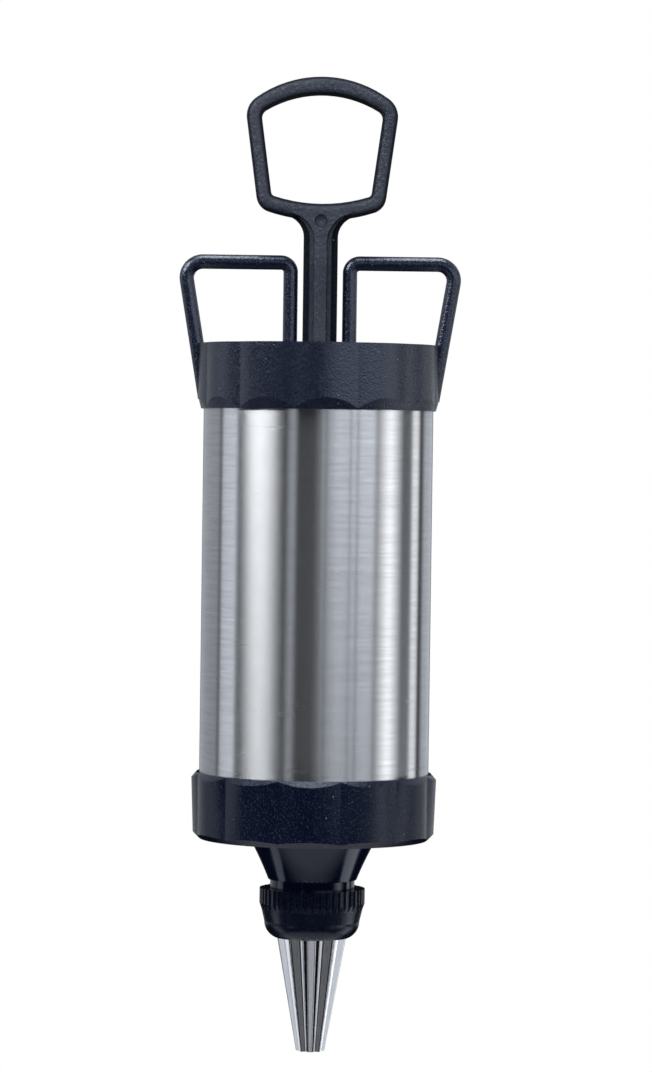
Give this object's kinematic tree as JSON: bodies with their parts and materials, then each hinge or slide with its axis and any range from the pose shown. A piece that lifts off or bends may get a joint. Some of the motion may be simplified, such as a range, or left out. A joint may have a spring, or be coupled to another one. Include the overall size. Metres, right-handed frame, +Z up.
{
  "type": "donut filling injector",
  "caption": "Hand injector for pastry filling: steel barrel between lobed screw collars, ring plunger with sealed piston, finger loops, funnel neck and nut-held fluted piping tip.",
  "frame": {"origin": "centre of the piping tip's outlet, the lowest point of the upright injector", "axes": "+Z up along the barrel's axis towards the thumb ring, +X to the right across the finger loops seen from the front, +Y from front to back"},
  "size_m": [0.0698, 0.0608, 0.2418],
  "materials": {
    "barrel_steel": "fine brushed, bright",
    "tip_steel": "polished",
    "screw_steel": "plain",
    "black_plastic": "fine moulded grain",
    "glossy_black_plastic": "smooth, glossy",
    "piston_plastic": "smooth, satin",
    "seal_silicone": "soft, matt",
    "gasket_rubber": "soft, matt"
  },
  "bodies": {
    "barrel": {"barrel": "barrel_steel"},
    "upper_gasket": {"upper_gasket": "gasket_rubber"},
    "top_cap": {"top_cap": "black_plastic"},
    "plunger": {"plunger_rod": "black_plastic", "piston_front_plate": "piston_plastic", "piston_back_plate": "piston_plastic", "piston_seal": "seal_silicone", "piston_screw": "screw_steel", "piston_washer": "screw_steel"},
    "funnel": {"funnel": "glossy_black_plastic", "lower_gasket": "gasket_rubber"},
    "lower_collar": {"lower_collar": "black_plastic"},
    "piping_tip": {"piping_tip": "tip_steel"},
    "coupling_nut": {"coupling_nut": "black_plastic"}
  },
  "joints": [
    {"name": "cap_lift", "type": "slide", "parent": "barrel", "child": "upper_gasket", "axis": [0, 0, 1], "range_m": [0, 0.0128]},
    {"name": "cap_screw", "type": "hinge", "parent": "upper_gasket", "child": "top_cap", "pos_m": [0, 0, 0.1718], "axis": [0, 0, 1], "range_deg": [0, 1153]},
    {"name": "plunger_slide", "type": "slide", "parent": "top_cap", "child": "plunger", "axis": [0, 0, 1], "range_m": [0, 0.0995]},
    {"name": "funnel_drop", "type": "slide", "parent": "barrel", "child": "funnel", "axis": [0, 0, -1], "range_m": [0, 0.0116]},
    {"name": "collar_screw", "type": "hinge", "parent": "funnel", "child": "lower_collar", "pos_m": [0, 0, 0.0581], "axis": [0, 0, -1], "range_deg": [0, 1045]},
    {"name": "tip_drop", "type": "slide", "parent": "funnel", "child": "piping_tip", "axis": [0, 0, -1], "range_m": [0, 0.00925]},
    {"name": "nut_screw", "type": "hinge", "parent": "piping_tip", "child": "coupling_nut", "pos_m": [0, 0, 0.0318], "axis": [0, 0, -1], "range_deg": [0, 1333]}
  ],
  "couplings": [
    {"joint": "cap_screw", "follows": "cap_lift", "rad_per_m": 1570.8},
    {"joint": "collar_screw", "follows": "funnel_drop", "rad_per_m": 1570.8},
    {"joint": "nut_screw", "follows": "tip_drop", "rad_per_m": 2513.3}
  ]
}
